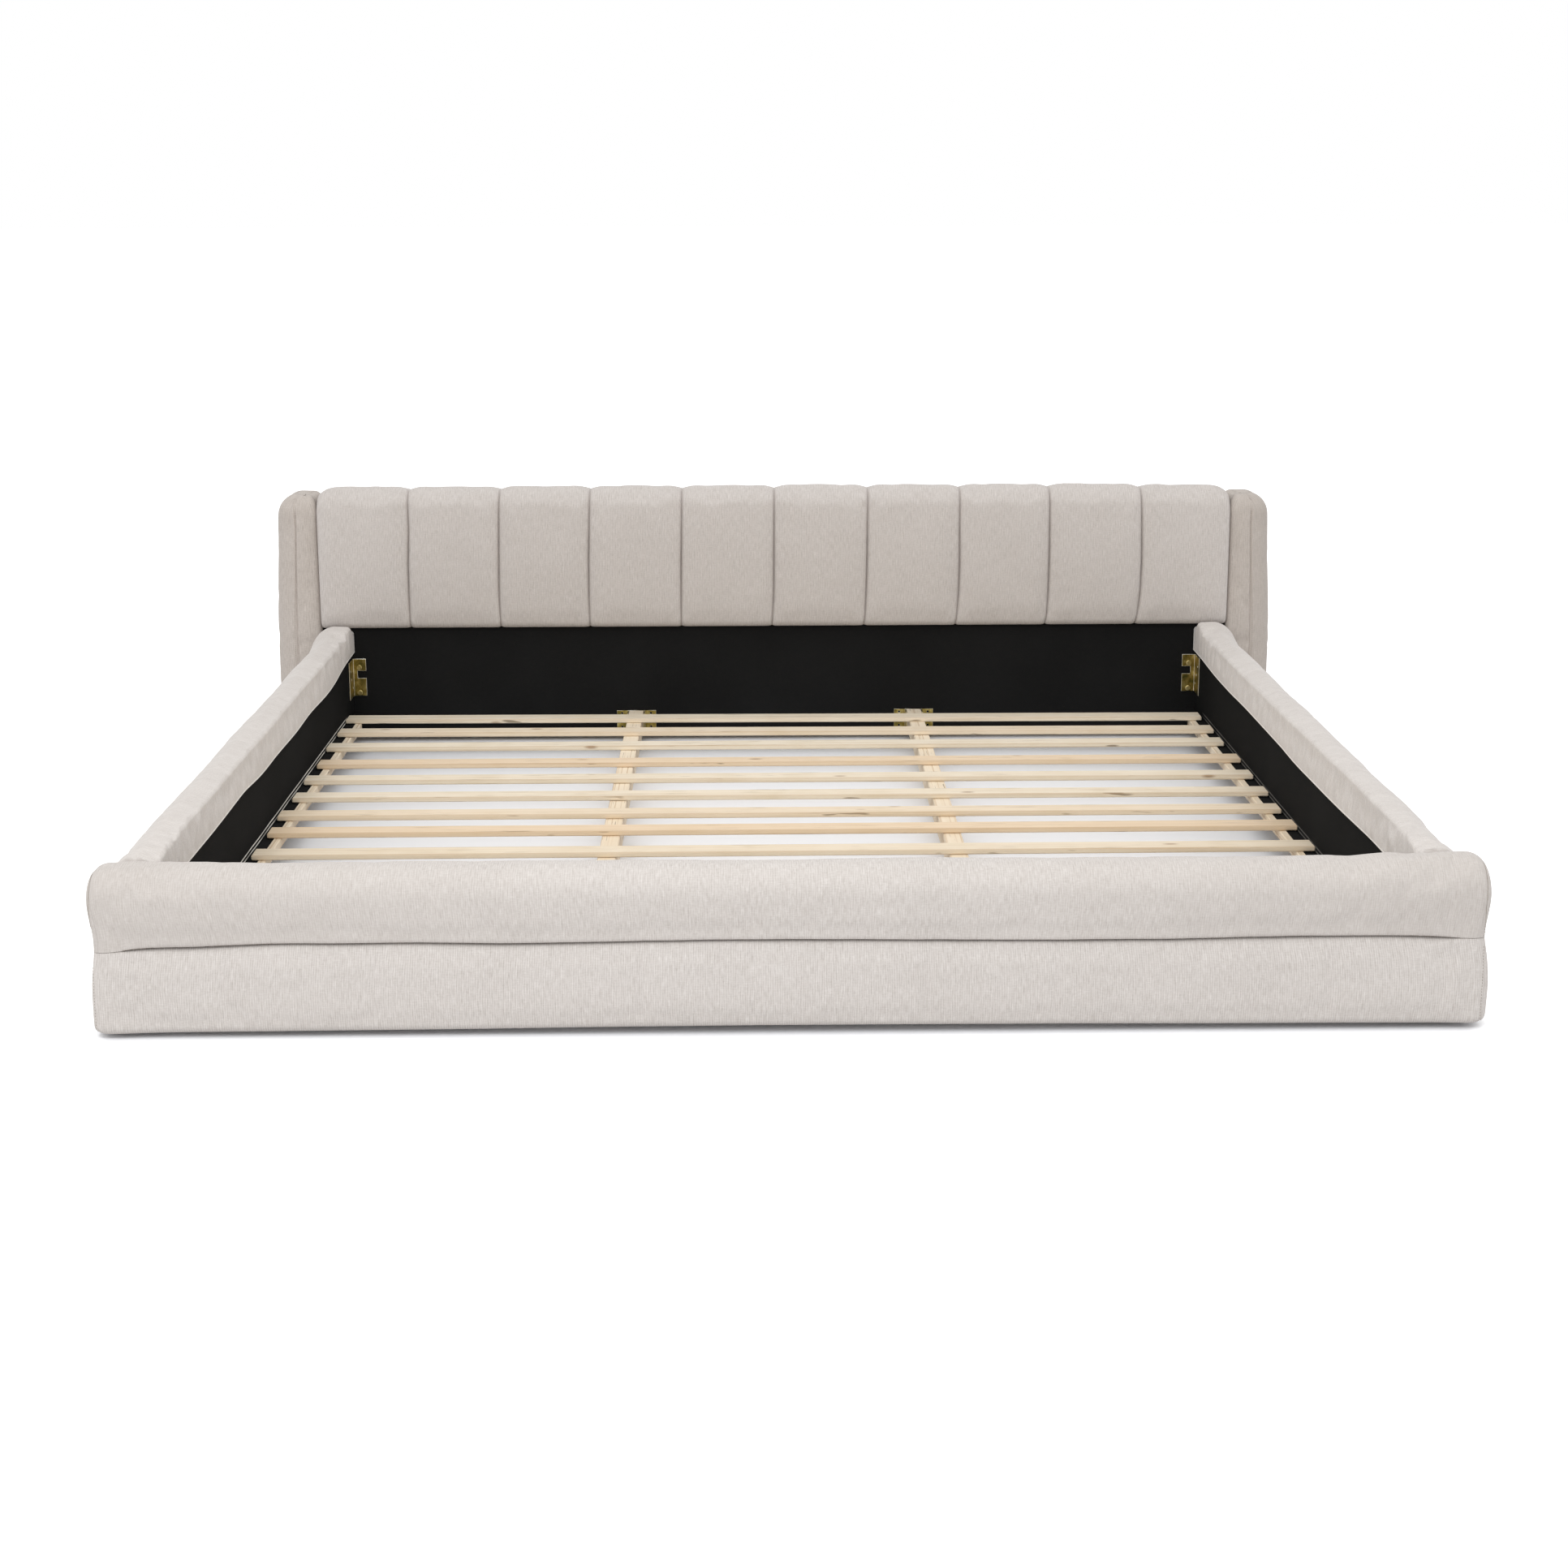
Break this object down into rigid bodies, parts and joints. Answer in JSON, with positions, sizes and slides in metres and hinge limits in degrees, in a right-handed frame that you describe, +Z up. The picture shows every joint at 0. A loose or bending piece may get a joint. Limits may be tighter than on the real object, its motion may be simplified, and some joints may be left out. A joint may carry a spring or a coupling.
{
  "type": "upholstered bed frame",
  "caption": "Low upholstered bed frame: channel-sewn headboard between two wings, padded side rails and footboard, and a slatted timber base on two beams.",
  "frame": {"origin": "on the floor, under the middle of the whole frame", "axes": "+Z up, +Y from the foot end to the headboard, +X to the right as seen from the foot end"},
  "size_m": [2.292, 2.25, 0.592],
  "materials": {
    "upholstery": "greige linen-look plain weave, matte, over foam",
    "lining": "black lining cloth, stapled flat, matte",
    "board": "raw plywood and sawn softwood, hidden by the covers",
    "pine": "planed pale softwood, clear and matte",
    "zinc": "pressed steel, yellow zinc plated",
    "plastic": "moulded black plastic"
  },
  "bodies": {
    "bed_frame": {"footboard_lining": "lining", "footboard_lower_roll": "upholstery", "footboard_panel": "board", "footboard_upper_roll": "upholstery", "headboard_back_cover": "lining", "headboard_channel_pad": "upholstery", "headboard_lining": "lining", "headboard_panel": "board", "headboard_top_rail": "board", "left_centre_beam": "pine", "left_foot_beam_bracket": "zinc", "left_foot_glide": "plastic", "left_foot_hook_bracket": "zinc", "left_foot_lower_bolt": "zinc", "left_foot_upper_bolt": "zinc", "left_head_beam_bracket": "zinc", "left_head_glide": "plastic", "left_head_hook_bracket": "zinc", "left_head_lower_bolt": "zinc", "left_head_upper_bolt": "zinc", "left_rail_board": "board", "left_rail_cover": "upholstery", "left_rail_ledger": "lining", "left_rail_lining": "lining", "left_slat_cleat": "pine", "left_wing_cover": "upholstery", "left_wing_post": "board", "right_centre_beam": "pine", "right_foot_beam_bracket": "zinc", "right_foot_glide": "plastic", "right_foot_hook_bracket": "zinc", "right_foot_lower_bolt": "zinc", "right_foot_upper_bolt": "zinc", "right_head_beam_bracket": "zinc", "right_head_glide": "plastic", "right_head_hook_bracket": "zinc", "right_head_lower_bolt": "zinc", "right_head_upper_bolt": "zinc", "right_rail_board": "board", "right_rail_cover": "upholstery", "right_rail_ledger": "lining", "right_rail_lining": "lining", "right_slat_cleat": "pine", "right_wing_cover": "upholstery", "right_wing_post": "board", "slat_01": "pine", "slat_02": "pine", "slat_03": "pine", "slat_04": "pine", "slat_05": "pine", "slat_06": "pine", "slat_07": "pine", "slat_08": "pine", "slat_09": "pine", "slat_10": "pine", "slat_11": "pine", "slat_12": "pine", "slat_13": "pine"},
    "left_levelling_foot": {"left_levelling_foot": "plastic"},
    "right_levelling_foot": {"right_levelling_foot": "plastic"}
  },
  "joints": [
    {"name": "left_levelling_slide", "type": "slide", "parent": "bed_frame", "child": "left_levelling_foot", "axis": [0, 0, 1], "range_m": [-0.01, 0.012]},
    {"name": "right_levelling_slide", "type": "slide", "parent": "bed_frame", "child": "right_levelling_foot", "axis": [0, 0, 1], "range_m": [-0.01, 0.012]}
  ]
}
